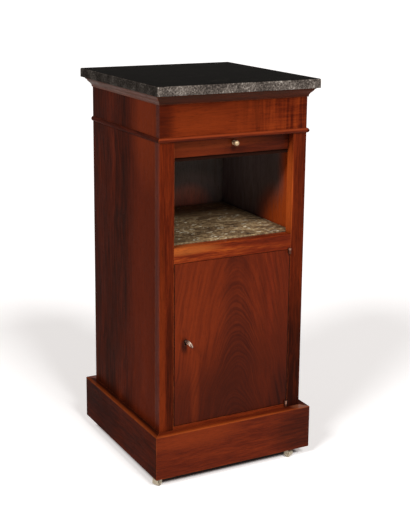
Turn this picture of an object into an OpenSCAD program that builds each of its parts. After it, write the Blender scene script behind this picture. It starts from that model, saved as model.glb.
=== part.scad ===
// Bedside pot cupboard in mahogany: stone top, moulded cornice and frieze, shallow drawer,
// open niche with a stone floor, flame-veneered door, and a plinth on four brass castors.
// Front faces -Y, width along X, floor at Z = 0, millimetres.

/* [Case] */
// Width of the body between its outer side faces
body_w = 350; // [320:5:450]
// Depth of the body between its front and back faces
body_d = 350; // [320:5:450]
// Thickness of each side panel
side_t = 18; // [12:1:22]
// Width of each front stile
stile_w = 33; // [28:1:45]
// Thickness of the front stiles and of the rail between them
frame_t = 22; // [20:1:28]
// Thickness of the back panel
back_t = 12; // [6:1:18]
// Thickness of the bottom board
bottom_t = 18; // [14:1:24]
// Thickness of the board under the stone top
top_t = 20; // [14:1:28]
// Thickness of the frieze board
frieze_t = 17.5; // [14:0.5:17.5]
// Thickness of the board that carries the niche floor
shelf_t = 15; // [10:1:20]
// Thickness of the board under the drawer
dust_t = 8; // [6:1:14]
// Rounding of the outer front arrises of the body and of the plinth corners
arris = 1.2; // [0.4:0.2:2.4]

/* [Heights] */
// Height of the plinth boards
plinth_h = 97; // [80:1:130]
// Edge of the bottom board that shows under the door
sill_h = 8; // [5:1:13]
// Height of the door
door_h = 358; // [250:1:420]
// Height of the rail over the door
rail_h = 34; // [28:1:50]
// Clear height of the niche, from the rail to the board under the drawer
niche_h = 177; // [120:1:240]
// Height of the drawer opening
drawer_open_h = 36; // [32:1:60]
// Height of the frieze
frieze_h = 78; // [50:1:110]

/* [Stone] */
// Thickness of the stone top
marble_t = 20; // [15:1:30]
// Overhang of the stone top past each side
marble_side = 17; // [15:1:25]
// Overhang of the stone top past the front
marble_front = 24; // [15:1:28]
// Overhang of the stone top past the back
marble_back = 31; // [15:1:40]
// Rounding of the upper edge of the stone top
marble_r = 3; // [1:0.5:6]
// Thickness of the stone floor of the niche
stone_t = 15; // [10:1:20]
// Height by which the stone floor stands above the rail
stone_rise = 3; // [0:0.5:6]
// Rounding of the upper edge of the stone floor
stone_r = 1.5; // [0.5:0.5:4]
// Bedding gap round the stone floor
stone_gap = 0.3; // [0.1:0.1:1]

/* [Mouldings] */
// Projection of the cornice
cornice_reach = 13; // [8:1:14]
// Flat at the foot and at the top of the cornice
cornice_flat = 3; // [2:0.5:5]
// Projection of the foot and of the top step of the cornice
cornice_step = 2; // [1:0.5:3]
// Fullness of the double curve of the cornice
cornice_curve = 0.55; // [0:0.05:0.9]
// Diameter of the astragal bead
bead_d = 11; // [8:0.5:16]
// Distance from the body face to the centre of the bead
bead_out = -1; // [-2:0.5:2]

/* [Plinth] */
// Projection and thickness of the plinth boards at the sides
plinth_side = 17; // [14:1:24]
// Projection and thickness of the front plinth board
plinth_front = 20; // [14:1:26]
// Projection and thickness of the back plinth board
plinth_back = 22; // [14:1:26]
// Bevel on the upper edge of the plinth
plinth_bevel = 1.5; // [0.5:0.5:4]
// Width of each corner block
block_w = 60; // [50:1:75]
// Depth of each corner block
block_d = 45; // [35:1:60]

/* [Door] */
// Thickness of the door
door_t = 20; // [19:0.5:20]
// Gap beside the door
door_gap_side = 0.7; // [0.5:0.1:1.5]
// Gap over and under the door
door_gap_v = 1; // [0.8:0.1:2]
// Depth of the stop strip behind the top of the door
stop_t = 10; // [6:1:14]
// Length of the stop strip
stop_w = 180; // [80:5:220]
// Distance that the stop strip hangs behind the door
stop_drop = 8; // [4:1:12]
// Gap between the closed door and its stop
stop_gap = 0.3; // [0.2:0.1:1]
// Rounding of the front edges of the door, the rail and the drawer front
front_ease = 0.7; // [0.3:0.1:1.2]

/* [Hinges] */
// Length of each hinge leaf
leaf_l = 44; // [32:1:60]
// Width of each hinge leaf
leaf_w = 12; // [9:0.5:13]
// Thickness of each hinge leaf
leaf_t = 2.5; // [2:0.25:3]
// Distance of the leaf strip behind the front face
leaf_back = 5; // [3:0.5:7]
// Radius of the round ends at the hinge pin
knuckle_r = 3.1; // [3:0.1:4.5]
// Radius of the hinge pin
hinge_pin_r = 1.7; // [1.5:0.1:2.2]
// Distance of the hinge pin from the side of the door opening
pin_in = 4; // [0:0.5:4.5]
// Height of the round end of each leaf on the case
knuckle_case_h = 3.5; // [3:0.5:6]
// Height of the round end of each leaf on the door
knuckle_door_h = 8; // [4:0.5:10]
// Radial running fit of the hinge pin
pin_fit = 0.06; // [0.03:0.01:0.1]
// Radius of the hinge screw shank
screw_r = 1.4; // [1:0.1:1.8]
// Length of the hinge screws
screw_l = 12; // [8:1:14]
// Radius of the hinge screw heads
screw_head_r = 2.6; // [2.2:0.1:3]
// Distance of the outer screw from the end of the leaf
screw_end = 8; // [5:0.5:10]
// Distance of the inner screw from the door edge
screw_edge = 14; // [11:0.5:16]

/* [Lock] */
// Distance of the keyhole from the door edge
key_backset = 27.3; // [22:0.1:34]
// Height of the keyhole above the foot of the door
key_rise = 187; // [120:1:230]
// Length of the lock case along X
lock_l = 43; // [40:1:55]
// Height of the lock case
lock_h = 48; // [36:1:60]
// Depth of the lock case in the door
lock_t = 12; // [11.5:0.1:13]
// Distance that the lock plate reaches over and under the lock case
lock_lip = 9; // [6:0.5:11]
// Thickness of the lock case walls
lock_wall = 1.4; // [1:0.1:1.8]
// Height of the lock bolt
bolt_h = 12; // [8:1:16]
// Thickness of the lock bolt
bolt_t = 3.8; // [3:0.1:4]
// Length of the lock bolt
bolt_l = 28; // [20:1:34]
// Travel of the lock bolt
bolt_throw = 7; // [5:0.5:8]
// Running gap round the lock bolt
bolt_fit = 0.25; // [0.15:0.05:0.5]
// Thickness of the strike plate
strike_t = 1.2; // [0.8:0.1:2]
// Margin of the strike plate in front of and behind the bolt
strike_rim = 2; // [1.5:0.1:2.4]
// Gap round the bolt in the strike plate
strike_gap = 0.6; // [0.4:0.1:1]
// Depth left behind the thrown bolt in the stile
mortise_spare = 3; // [1:0.5:6]
// Thickness of the escutcheon ring
escutcheon_t = 2; // [1:0.25:3]
// Width of the escutcheon rim round the keyhole
escutcheon_rim = 1.6; // [1:0.1:2.2]

/* [Key] */
// Radius of the key shank
shank_r = 2.4; // [2:0.1:2.8]
// Gap between the key shank and its holes
shank_gap = 0.5; // [0.3:0.1:0.8]
// Distance that the key stands out of the door
key_out = 31; // [26:1:34]
// Radius of the ring bow on its centre line
bow_r = 8.3; // [6:0.1:9]
// Radius of the bow wire
bow_wire_r = 1.8; // [1.2:0.1:2.2]
// Reach of the key bit from the shank axis
bit_reach = 8; // [6:0.5:9]
// Thickness of the key bit
bit_t = 1.8; // [1.4:0.1:2.2]
// Turn of the key from upright at rest
key_turn = 27; // [0:1:40]
// Height of the collar on the key shank above the shank
collar_rise = 1.2; // [0.6:0.1:1.8]
// Length of the collar on the key shank
collar_l = 2; // [1:0.5:3]
// Width of the ward slot in the key bit
ward_w = 1; // [0.6:0.1:1.4]
// Depth of the ward slot in the key bit
ward_d = 2.5; // [1:0.5:4]

/* [Drawer] */
// Distance from the body face back to the drawer face
drawer_recess = 18; // [18:0.5:22]
// Thickness of the drawer front
drawer_front_t = 14; // [10:1:18]
// Length of the drawer behind its front
drawer_l = 243; // [180:1:250]
// Distance of the drawer side top below the top of the front
drawer_side_drop = 5; // [3:0.5:8]
// Distance of the drawer back top below the side tops
drawer_back_drop = 2; // [0:0.5:4]
// Height of the drawer bottom above the foot of the sides
groove_rise = 2; // [1.5:0.5:4]
// Depth of the groove for the drawer bottom
groove_d = 3; // [2:0.5:4]
// Depth of the blocks that stop the drawer at its closed place
drawer_stop_t = 12; // [8:1:20]
// Height of the blocks that stop the drawer
drawer_stop_h = 15; // [8:1:24]
// Length of the dovetails that hold the sides in the front
tail_l = 9.5; // [6:0.5:10]
// Width of a dovetail at its end, as a share of the room for it
tail_share = 0.72; // [0.5:0.02:0.8]
// Narrowing of a dovetail from its end to its root, on each side
tail_slope = 1.5; // [1:0.25:2]
// Thickness of the drawer sides and back
drawer_side_t = 8; // [6:1:10]
// Thickness of the drawer bottom
drawer_bottom_t = 4; // [3:0.5:6]
// Gap under and over the drawer front
drawer_gap_v = 0.4; // [0.3:0.1:1]
// Gap beside the drawer front
drawer_gap_side = 0.5; // [0.3:0.1:1]
// Distance that the kickers reach in over the drawer
kicker_in = 12; // [8:1:20]
// Thickness of the kickers
kicker_t = 10; // [6:1:16]
// Distance of the knob centre under the frieze
knob_drop = 12; // [9:0.5:18]
// Distance of the knob to the right of the middle
knob_x = 5.6; // [0:0.2:10]
// Radius of the knob head
knob_r = 6; // [5:0.5:7]
// Distance from the drawer face to the centre of the knob head
knob_out = 12; // [11:0.5:18]
// Radius of the knob neck
knob_neck_r = 2.6; // [2.4:0.1:3.2]
// Radius of the knob base
knob_base_r = 4.8; // [4.2:0.2:6]
// Radius of the knob screw
knob_screw_r = 2; // [1.5:0.25:2.5]
// Thickness of the knob base
knob_base_t = 1.5; // [1:0.25:2.5]
// Height of the cone between the knob base and neck
knob_cone_h = 2; // [1:0.5:2.5]
// Height of the collar under the knob head above the neck
knob_collar_rise = 1; // [0.5:0.25:2]
// Length of the collar under the knob head
knob_collar_l = 1.5; // [1:0.25:2.5]
// Length of the knob screw behind the drawer front
knob_tail = 4; // [3.5:0.5:6]
// Radius of the knob nut over its corners
nut_r = 4.5; // [3.5:0.25:6]
// Thickness of the knob nut
nut_t = 3; // [2:0.25:4]

/* [Castors] */
// Diameter of the castor rollers
roller_d = 16; // [13:0.5:20]
// Width of the castor rollers
roller_w = 15; // [10:0.5:18]
// Distance from the swivel axis to the roller axis
trail = 15.5; // [13:0.5:18]
// Radius of the swivel stem
stem_r = 3; // [2.5:0.25:3.5]
// Length of the swivel stem in its socket
stem_l = 18; // [12:1:30]
// Radial running fit of the stem and of the axle
castor_fit = 0.05; // [0.03:0.01:0.1]
// Wall of the socket tube
socket_wall = 1.4; // [1:0.1:1.6]
// Radius of the socket flange
flange_r = 7.5; // [6.5:0.5:8]
// Thickness of the socket flange
flange_t = 1.5; // [1:0.25:2.5]
// Thickness of the fork plate
fork_t = 2.4; // [2:0.2:4]
// Gap between the fork plate and the roller
fork_clear = 0.8; // [0.5:0.1:2]
// Gap between the fork plate and the socket flange
swivel_gap = 0.3; // [0.2:0.05:0.5]
// Thickness of the fork cheeks
cheek_t = 1.8; // [1.4:0.1:2.4]
// Gap between the roller and each cheek
cheek_gap = 0.4; // [0.3:0.1:0.8]
// Radius of the castor axle
axle_r = 1.5; // [1.2:0.1:2]
// Width of the cheek round the axle
cheek_rim = 2.2; // [1.5:0.1:3]
// Width of the fork plate round the stem
plate_rim = 2.5; // [1.5:0.5:4]
// Rise of the rivet head over the axle
rivet_rise = 1; // [0.5:0.1:1.5]
// Thickness of the rivet head
rivet_t = 0.8; // [0.5:0.1:1.2]
// Rounding of the roller edges
roller_soft = 1; // [0.5:0.25:2]
// Wall at the upper end of the socket tube
socket_end = 1; // [0.5:0.25:2]
// Gap over the end of the stem
stem_gap = 1; // [0.5:0.25:2]
// Inset of the front left swivel from the body side
castor_in_left = 9; // [9:0.5:20]
// Inset of the front right swivel from the body side
castor_in_right = 36; // [9:0.5:40]
// Inset of the front swivels from the front face
castor_in_front = 7; // [7:0.5:20]
// Inset of the back swivels from the side and the back
castor_in_back = 15; // [9:0.5:25]

/* [Hidden] */

$fn = 48;

// Colours
MAHOGANY = [0.45, 0.17, 0.08];
FLAME = [0.42, 0.14, 0.06];
DARK_WOOD = [0.30, 0.15, 0.08];
GRANITE = [0.13, 0.12, 0.11];
STONE = [0.50, 0.45, 0.36];
BRASS = [0.76, 0.63, 0.36];
IRON = [0.36, 0.35, 0.33];

// A cut runs this far past the face that it opens
over = 1;

// Levels, from the floor up
floor_gap = roller_d + fork_clear + fork_t + swivel_gap + flange_t;
z_plinth = floor_gap + plinth_h;
z_sill = z_plinth + sill_h;
z_case = z_sill - bottom_t;
z_door = z_sill + door_gap_v;
z_door_top = z_door + door_h;
z_rail = z_door_top + door_gap_v;
z_rail_top = z_rail + rail_h;
z_stone = z_rail_top + stone_rise - stone_t;
z_dust = z_rail_top + niche_h;
z_drawer = z_dust + dust_t;
z_frieze = z_drawer + drawer_open_h;
z_cornice = z_frieze + frieze_h;
z_marble = z_cornice + top_t;

// Places across and from front to back
x_body = body_w / 2;
x_inner = x_body - side_t;
x_open = x_body - stile_w;
x_door = x_open - door_gap_side;
y_front = -body_d / 2;
y_back = body_d / 2;
y_frame = y_front + frame_t;
y_panel = y_back - back_t;

// Hinge pin, just in front of the face and beside the edge of the opening
leaf_gap = 0.3;
washer_gap = 0.1;
pin_end_gap = 0.4;
pin_x = x_open - pin_in;
pin_y = y_front - knuckle_r - leaf_gap;

// Keyhole, lock case and bolt
key_x = -x_door + key_backset;
key_z = z_door + key_rise;
lock_y0 = y_front + door_t - lock_t;
lock_y1 = y_front + door_t;
bit_gap = 0.4;
bolt_y = lock_y1 - lock_wall - bit_gap - bolt_t;
bit_y0 = lock_y0 + lock_wall + bit_gap;
bit_y1 = bolt_y - bit_gap;
collar_back = 1;

// Drawer, with a little more room over it than under it
drawer_spare = 0.2;
drawer_y = y_front + drawer_recess;
drawer_x = x_open - drawer_gap_side;
drawer_z = z_drawer + drawer_gap_v;
drawer_front_h = drawer_open_h - 2 * drawer_gap_v - drawer_spare;
drawer_side_h = drawer_front_h - drawer_side_drop;
drawer_box_y = drawer_y + drawer_front_t;
drawer_end_y = drawer_box_y + drawer_l;
knob_z = z_frieze - knob_drop;
knob_base_step = 1;
knob_collar_out = 1;

// Castors: swivel place and the direction of the trail, at rest
axle_z = roller_d / 2;
plate_z = roller_d + fork_clear;
stem_z = plate_z + fork_t;
CASTORS = [
    [-x_body + castor_in_left, y_front + castor_in_front, 205],
    [x_body - castor_in_right, y_front + castor_in_front, 300],
    [-x_body + castor_in_back, y_back - castor_in_back, 60],
    [x_body - castor_in_back, y_back - castor_in_back, 55]
];

// ---------------------------------------------------------------- helpers

// A board between two opposite corners
module board(low, high) {
    translate(low) cube(high - low);
}

// The same with the edges of its front face rounded
module eased_board(low, high, r) {
    size = high - low;
    translate([low[0], high[1], low[2]]) intersection() {
        linear_extrude(size[2]) mirror([0, 1]) slab_section(size[0], size[1], r);
        rotate([90, 0, 90]) linear_extrude(size[0]) rotate(90) slab_section(size[2], size[1], r);
    }
}

// The same with only the long edges of its front face rounded, where its ends meet other boards
module eased_rail(low, high, r) {
    size = high - low;
    translate([low[0], high[1], low[2]])
        rotate([90, 0, 90]) linear_extrude(size[0]) rotate(90) slab_section(size[2], size[1], r);
}

// A run of moulding on a face that looks to -Y, from its 2D profile (out, up).
// Each end is cut on the line that leads "ext" past the corner at full reach.
module moulding(run, reach, h, ext_l, ext_r) {
    intersection() {
        translate([-run / 2 - ext_l, 0, 0])
            rotate([90, 0, 90])
                linear_extrude(run + ext_l + ext_r) mirror([1, 0]) children();
        linear_extrude(h)
            polygon([[-run / 2, 0], [run / 2, 0], [run / 2 + ext_r, -reach], [-run / 2 - ext_l, -reach]]);
    }
}

// Stands a front moulding on one of the four faces: 0 front, 1 right, 2 back, 3 left
module on_face(side, z) {
    out = (side % 2 == 0) ? body_d / 2 : body_w / 2;
    rotate([0, 0, 90 * side]) translate([0, -out, z]) children();
}

// Ogee from the foot flat to the top flat, as a formula
function ogee(t) = t - cornice_curve * sin(360 * t) / (2 * PI);

module cornice_profile() {
    steps = 16;
    rise = top_t - 2 * cornice_flat;
    foot = cornice_step;
    out = cornice_reach - 2 * foot;
    polygon(concat(
        [[0, 0], [foot, 0]],
        [for (i = [0 : steps]) [foot + out * ogee(i / steps), cornice_flat + rise * i / steps]],
        [[cornice_reach, top_t - cornice_flat], [cornice_reach, top_t], [0, top_t]]
    ));
}

module bead_profile() {
    intersection() {
        translate([bead_out, bead_d / 2]) circle(d = bead_d);
        square([bead_d, bead_d]);
    }
}

module plinth_profile(reach) {
    polygon([
        [0, 0],
        [reach, 0],
        [reach, plinth_h - plinth_bevel],
        [reach - plinth_bevel, plinth_h],
        [0, plinth_h]
    ]);
}

module cornice_run(side) {
    run = (side % 2 == 0) ? body_w : body_d;
    color(MAHOGANY) on_face(side, z_cornice)
        moulding(run, cornice_reach, top_t, cornice_reach, cornice_reach) cornice_profile();
}

module astragal_run(side) {
    run = (side % 2 == 0) ? body_w : body_d;
    reach = bead_d / 2 + bead_out;
    ext_l = (side == 3) ? 0 : reach;
    ext_r = (side == 1) ? 0 : reach;
    color(MAHOGANY) on_face(side, z_frieze)
        moulding(run, reach, bead_d, ext_l, ext_r) bead_profile();
}

module plinth_run(side) {
    reaches = [plinth_front, plinth_side, plinth_back, plinth_side];
    run = (side % 2 == 0) ? body_w : body_d;
    color(MAHOGANY) intersection() {
        on_face(side, floor_gap)
            moulding(run, reaches[side], plinth_h, reaches[(side + 3) % 4], reaches[(side + 1) % 4])
                plinth_profile(reaches[side]);
        plinth_outline();
    }
}

// Outline of the whole plinth, with its upright arrises rounded
module plinth_outline() {
    w = body_w + 2 * plinth_side;
    d = body_d + plinth_front + plinth_back;
    translate([-w / 2, y_front - plinth_front, floor_gap]) linear_extrude(plinth_h) intersection() {
        slab_section(w, d, arris);
        translate([0, d]) mirror([0, 1]) slab_section(w, d, arris);
    }
}

// Upright section of a slab with its upper corners rounded
module slab_section(w, h, r) {
    square([w, h - r]);
    translate([r, 0]) square([w - 2 * r, h]);
    translate([r, h - r]) circle(r);
    translate([w - r, h - r]) circle(r);
}

// Plan of a hinge leaf: round end at the pin, crank, and strip along the door
module leaf_plan() {
    strip = y_front + leaf_back;
    translate([pin_x, pin_y]) circle(knuckle_r);
    polygon([
        [pin_x - knuckle_r, pin_y],
        [x_door - leaf_gap, y_front - leaf_gap],
        [x_door - leaf_gap, strip + leaf_w],
        [x_door - leaf_l, strip + leaf_w],
        [x_door - leaf_l, strip],
        [x_door - 2 * knuckle_r, strip]
    ]);
}

// Places of the two screws of a leaf
module at_leaf_screws() {
    for (back = [leaf_l - screw_end, screw_edge])
        translate([x_door - back, y_front + leaf_back + leaf_w / 2, 0]) children();
}

// Countersunk screw with its head face at Z = 0, pointing up
module screw() {
    cylinder(r1 = screw_head_r, r2 = screw_r, h = screw_head_r - screw_r);
    cylinder(r = screw_r, h = screw_l);
}

module leaf_screws(z, up) {
    at_leaf_screws() translate([0, 0, z]) rotate([up ? 0 : 180, 0, 0]) screw();
}

// A leaf at a level, with its screw holes
module leaf(z, screws_z, up) {
    difference() {
        translate([0, 0, z]) linear_extrude(leaf_t) leaf_plan();
        leaf_screws(screws_z, up);
    }
}

// Fixed leaf with its washer and pin, which point down at the top hinge and up at the bottom one
module fixed_leaf(z, up) {
    washer = door_gap_v - washer_gap;
    color(BRASS) {
        leaf(z, up ? z + leaf_t : z, !up);
        translate([pin_x, pin_y, up ? z + leaf_t - knuckle_case_h : z])
            cylinder(r = knuckle_r, h = knuckle_case_h);
        translate([pin_x, pin_y, up ? z + leaf_t : z - washer]) cylinder(r = knuckle_r, h = washer);
        translate([pin_x, pin_y, up ? z + leaf_t : z - door_gap_v - leaf_t])
            cylinder(r = hinge_pin_r, h = door_gap_v + leaf_t);
    }
}

// Leaf on the door with its taller round end, bored for the pin from the side of the case
module door_leaf(z, up) {
    bore = leaf_t + pin_end_gap + over;
    color(BRASS) difference() {
        union() {
            leaf(z, up ? z + leaf_t : z, !up);
            translate([pin_x, pin_y, up ? z + leaf_t - knuckle_door_h : z])
                cylinder(r = knuckle_r, h = knuckle_door_h);
        }
        translate([pin_x, pin_y, up ? z - pin_end_gap : z - over])
            cylinder(r = hinge_pin_r + pin_fit, h = bore);
    }
}

// ---------------------------------------------------------------- case

module marble_top() {
    w = body_w + 2 * marble_side;
    d = body_d + marble_front + marble_back;
    color(GRANITE) translate([-w / 2, y_front - marble_front, z_marble]) intersection() {
        translate([0, d, 0]) rotate([90, 0, 0]) linear_extrude(d) slab_section(w, marble_t, marble_r);
        rotate([90, 0, 90]) linear_extrude(w) slab_section(d, marble_t, marble_r);
    }
}

module top_board() {
    color(DARK_WOOD) board([-x_body, y_front, z_cornice], [x_body, y_back, z_marble]);
}

module frieze_rail() {
    color(MAHOGANY) translate([-x_body, y_front + frieze_t, z_frieze])
        linear_extrude(frieze_h) mirror([0, 1]) slab_section(body_w, frieze_t, arris);
}

// Full-height panel, notched round the stile, with the frieze board in front of it
module side_panel_right() {
    color(MAHOGANY) {
        board([x_inner, y_frame, z_case], [x_body, y_back, z_cornice]);
        board([x_inner, y_front + frieze_t, z_frieze], [x_body, y_frame + over, z_cornice]);
    }
}

module side_panel_left() {
    mirror([1, 0, 0]) side_panel_right();
}

// Stile with its outer front arris rounded
module stile_block() {
    translate([0, 0, z_case]) linear_extrude(z_frieze - z_case) intersection() {
        translate([-x_body, y_frame]) mirror([0, 1]) slab_section(body_w, frame_t, arris);
        translate([x_open, y_front - over]) square([stile_w + over, frame_t + 2 * over]);
    }
}

module stile_right() {
    color(MAHOGANY) stile_block();
}

// The left stile has the mortise for the lock bolt behind its strike plate
module stile_left() {
    color(MAHOGANY) difference() {
        mirror([1, 0, 0]) stile_block();
        translate([-x_open - strike_t, 0, 0]) strike_block(strike_t + over);
        bolt_hole(-x_open - bolt_throw - mortise_spare, -x_open + over);
    }
}

module strike_block(t) {
    translate([0, bolt_y - strike_rim, key_z - lock_h / 2 + strike_rim])
        cube([t, bolt_t + 2 * strike_rim, lock_h - 2 * strike_rim]);
}

module bolt_hole(x0, x1) {
    board([x0, bolt_y - strike_gap, key_z - bolt_h / 2 - strike_gap],
          [x1, bolt_y + bolt_t + strike_gap, key_z + bolt_h / 2 + strike_gap]);
}

module strike_plate() {
    color(BRASS) difference() {
        translate([-x_open - strike_t, 0, 0]) strike_block(strike_t);
        bolt_hole(-x_open - strike_t - over, -x_open + over);
    }
}

module back_panel() {
    color(DARK_WOOD) board([-x_inner, y_panel, z_case], [x_inner, y_back, z_cornice]);
}

module dust_board() {
    color(DARK_WOOD) board([-x_inner, y_frame, z_dust], [x_inner, y_panel, z_drawer]);
}

// Guides beside the drawer, each with the kicker that stops it tipping
module drawer_guides() {
    color(DARK_WOOD) for (s = [0, 1]) mirror([s, 0, 0]) {
        board([x_open, y_frame, z_drawer], [x_inner, y_panel, z_frieze]);
        board([x_open - kicker_in, y_frame, z_frieze], [x_inner, y_panel, z_frieze + kicker_t]);
        // block that the closed drawer meets
        board([x_open - kicker_in, drawer_end_y + stop_gap, z_drawer],
              [x_open + over, drawer_end_y + stop_gap + drawer_stop_t, z_drawer + drawer_stop_h]);
    }
}

module stone_shelf() {
    w = 2 * (x_inner - stone_gap);
    d = y_panel - y_frame - 2 * stone_gap;
    color(STONE) translate([-w / 2, y_frame + stone_gap, z_stone])
        rotate([90, 0, 90]) linear_extrude(w) slab_section(d, stone_t, stone_r);
}

module shelf_board() {
    color(DARK_WOOD) board([-x_inner, y_frame, z_stone - shelf_t], [x_inner, y_panel, z_stone]);
}

module niche_rail() {
    color(MAHOGANY) difference() {
        eased_rail([-x_open, y_front, z_rail], [x_open, y_frame, z_rail_top], front_ease);
        translate([0, 0, z_rail - over]) linear_extrude(leaf_t + over) leaf_plan();
        leaf_screws(z_rail, true);
    }
}

// Bottom board, with the lip between the stiles that shows as the sill
module bottom_board() {
    color(MAHOGANY) difference() {
        union() {
            board([-x_inner, y_frame, z_case], [x_inner, y_panel, z_sill]);
            board([-x_open, y_front, z_case], [x_open, y_frame + over, z_sill]);
        }
        translate([0, 0, z_sill - leaf_t]) linear_extrude(leaf_t + over) leaf_plan();
        leaf_screws(z_sill, false);
    }
}

// Strip glued under the shelf board, with a rebate under the rail: the door closes against it
module door_stop() {
    y0 = y_front + door_t + stop_gap;
    color(DARK_WOOD) {
        board([-stop_w / 2, y0, z_door_top - stop_drop], [stop_w / 2, y_frame + stop_t, z_rail]);
        board([-stop_w / 2, y_frame, z_rail - over], [stop_w / 2, y_frame + stop_t, z_stone - shelf_t]);
    }
}

// ---------------------------------------------------------------- door, hinges, lock

module keyhole(y0, y1) {
    translate([key_x, y0, key_z]) rotate([-90, 0, 0]) cylinder(r = shank_r + shank_gap, h = y1 - y0);
    translate([key_x - bit_t / 2 - shank_gap, y0, key_z - bit_reach - shank_gap])
        cube([bit_t + 2 * shank_gap, y1 - y0, bit_reach + shank_gap]);
}

module door_panel() {
    color(FLAME) difference() {
        eased_board([-x_door, y_front, z_door], [x_door, y_front + door_t, z_door_top], front_ease);
        // lock recess, open to the back and to the door edge, and the seat of its plate
        board([-x_door - over, lock_y0, key_z - lock_h / 2],
              [-x_door + lock_l, lock_y1 + over, key_z + lock_h / 2]);
        board([-x_door - over, lock_y1 - lock_wall, key_z - lock_h / 2 - lock_lip],
              [-x_door + lock_l, lock_y1 + over, key_z + lock_h / 2 + lock_lip]);
        keyhole(y_front - over, lock_y0 + over);
        escutcheon_ring(escutcheon_t + over, -over, 0);
        // seats of the two door leaves
        translate([0, 0, z_door_top - leaf_t]) linear_extrude(leaf_t + over) leaf_plan();
        translate([0, 0, z_door - over]) linear_extrude(leaf_t + over) leaf_plan();
        leaf_screws(z_door_top, false);
        leaf_screws(z_door, true);
    }
}

module hinge_top_fixed() {
    fixed_leaf(z_rail, false);
}

module hinge_bottom_fixed() {
    fixed_leaf(z_sill - leaf_t, true);
}

module hinge_top_leaf() {
    door_leaf(z_door_top - leaf_t, true);
}

module hinge_bottom_leaf() {
    door_leaf(z_door, false);
}

module hinge_screws_case() {
    color(BRASS) {
        leaf_screws(z_rail, true);
        leaf_screws(z_sill, false);
    }
}

module hinge_screws_door() {
    color(BRASS) {
        leaf_screws(z_door_top, false);
        leaf_screws(z_door, true);
    }
}

// Brass box let into the back of the door, with a slot for the bolt and a hole for the key
module lock_case() {
    z0 = key_z - lock_h / 2;
    z1 = key_z + lock_h / 2;
    color(BRASS) difference() {
        union() {
            board([-x_door, lock_y0, z0], [-x_door + lock_l, lock_y1, z1]);
            board([-x_door, lock_y1 - lock_wall, z0 - lock_lip],
                  [-x_door + lock_l, lock_y1, z1 + lock_lip]);
        }
        board([-x_door + lock_wall, lock_y0 + lock_wall, z0 + lock_wall],
              [-x_door + lock_l - lock_wall, lock_y1 - lock_wall, z1 - lock_wall]);
        keyhole(lock_y0 - over, lock_y0 + lock_wall + over);
        translate([-x_door - over, bolt_y - bolt_fit, key_z - bolt_h / 2 - bolt_fit])
            cube([lock_wall + 2 * over, bolt_t + 2 * bolt_fit, bolt_h + 2 * bolt_fit]);
    }
}

module lock_bolt() {
    color(BRASS) translate([-x_door, bolt_y, key_z - bolt_h / 2]) cube([bolt_l, bolt_t, bolt_h]);
}

// Escutcheon: a thin brass ring round the keyhole, let in flush
module escutcheon_ring(t, y_off, grow) {
    r = shank_r + shank_gap + escutcheon_rim;
    slot = bit_t / 2 + shank_gap + escutcheon_rim;
    foot = bit_reach + shank_gap + escutcheon_rim;
    translate([key_x, y_front + y_off, key_z]) rotate([-90, 0, 0]) cylinder(r = r + grow, h = t);
    translate([key_x - slot, y_front + y_off, key_z - foot]) cube([2 * slot, t, foot]);
}

module key_escutcheon() {
    color(BRASS) difference() {
        escutcheon_ring(escutcheon_t, 0, 0);
        keyhole(y_front - over, y_front + escutcheon_t + over);
    }
}

// Key in its lock: ring bow, collar, round shank and a flat bit
module key() {
    bow_y = y_front - key_out + bow_r + bow_wire_r;
    shank_y = bow_y + bow_r;
    color(IRON) translate([key_x, 0, key_z]) rotate([0, -key_turn, 0]) {
        translate([0, bow_y, 0]) rotate([0, 90, 0]) rotate_extrude()
            translate([bow_r, 0]) circle(bow_wire_r);
        translate([0, shank_y, 0]) rotate([-90, 0, 0]) cylinder(r = shank_r, h = bit_y1 - shank_y);
        translate([0, shank_y + collar_back, 0]) rotate([-90, 0, 0])
            cylinder(r = shank_r + collar_rise, h = collar_l);
        difference() {
            translate([-bit_t / 2, bit_y0, -bit_reach]) cube([bit_t, bit_y1 - bit_y0, bit_reach]);
            translate([-bit_t, (bit_y0 + bit_y1 - ward_w) / 2, -bit_reach - over])
                cube([2 * bit_t, ward_w, ward_d + over]);
        }
    }
}

// ---------------------------------------------------------------- drawer

// Two tails at the front end of the right side, wider at their ends, with half pins over and under them
module dovetails() {
    room = drawer_side_h / 2;
    half = tail_share * room / 2;
    for (i = [0, 1])
        translate([drawer_x - drawer_side_t, drawer_box_y, drawer_z + (i + 0.5) * room])
            rotate([90, 0, 90]) linear_extrude(drawer_side_t)
                polygon([
                    [0, tail_slope - half],
                    [-tail_l, -half],
                    [-tail_l, half],
                    [0, half - tail_slope]
                ]);
}

module drawer_front() {
    color(MAHOGANY) difference() {
        eased_board([-drawer_x, drawer_y, drawer_z],
                    [drawer_x, drawer_box_y, drawer_z + drawer_front_h], front_ease);
        dovetails();
        mirror([1, 0, 0]) dovetails();
        translate([knob_x, drawer_y - over, knob_z]) rotate([-90, 0, 0])
            cylinder(r = knob_screw_r, h = drawer_front_t + 2 * over);
    }
}

module drawer_side_right() {
    color(DARK_WOOD) {
        difference() {
            board([drawer_x - drawer_side_t, drawer_box_y, drawer_z],
                  [drawer_x, drawer_end_y, drawer_z + drawer_side_h]);
            drawer_bottom_board();
        }
        dovetails();
    }
}

module drawer_side_left() {
    mirror([1, 0, 0]) drawer_side_right();
}

module drawer_back() {
    x = drawer_x - drawer_side_t;
    color(DARK_WOOD)
        board([-x, drawer_end_y - drawer_side_t, drawer_z + groove_rise + drawer_bottom_t],
              [x, drawer_end_y, drawer_z + drawer_side_h - drawer_back_drop]);
}

// Bottom, which runs in a groove of each side
module drawer_bottom_board() {
    x = drawer_x - drawer_side_t + groove_d;
    board([-x, drawer_box_y, drawer_z + groove_rise],
          [x, drawer_end_y, drawer_z + groove_rise + drawer_bottom_t]);
}

module drawer_bottom() {
    color(DARK_WOOD) drawer_bottom_board();
}

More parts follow.
